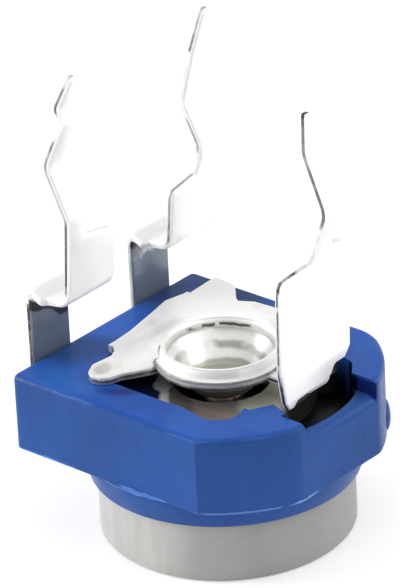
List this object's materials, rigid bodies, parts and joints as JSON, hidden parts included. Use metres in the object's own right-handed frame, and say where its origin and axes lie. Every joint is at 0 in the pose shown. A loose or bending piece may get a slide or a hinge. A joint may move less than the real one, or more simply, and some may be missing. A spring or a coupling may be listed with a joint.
{
  "type": "trimmer potentiometer",
  "caption": "Small carbon trimmer potentiometer with a round adjusting knob, a moulded housing and kinked snap-in legs for a circuit board.",
  "frame": {"origin": "centre of the adjusting knob's outer face, on the rotor axis", "axes": "+Z along the rotor axis towards the legs; +X from the straight side with the end terminals to the centre terminal; Y along the straight side"},
  "size_m": [0.0078, 0.0072, 0.0124],
  "materials": {
    "housing_blue": "satin",
    "knob_white": "satin",
    "spring_metal": "polished",
    "board_brown": "matt",
    "carbon": "matt",
    "silver_print": "satin",
    "tinned_sheet": "bright"
  },
  "bodies": {
    "frame": {"housing": "housing_blue", "element_board": "board_brown", "carbon_track": "carbon", "end_pad_near": "silver_print", "end_pad_far": "silver_print", "end_terminal_near": "tinned_sheet", "end_terminal_far": "tinned_sheet", "centre_terminal": "tinned_sheet"},
    "rotor": {"rotor_knob": "knob_white", "wiper_spring": "spring_metal"}
  },
  "joints": [
    {"name": "rotor_turn", "type": "hinge", "parent": "frame", "child": "rotor", "pos_m": [0, 0, 0], "axis": [0, 0, 1], "range_deg": [-105, 105]}
  ]
}
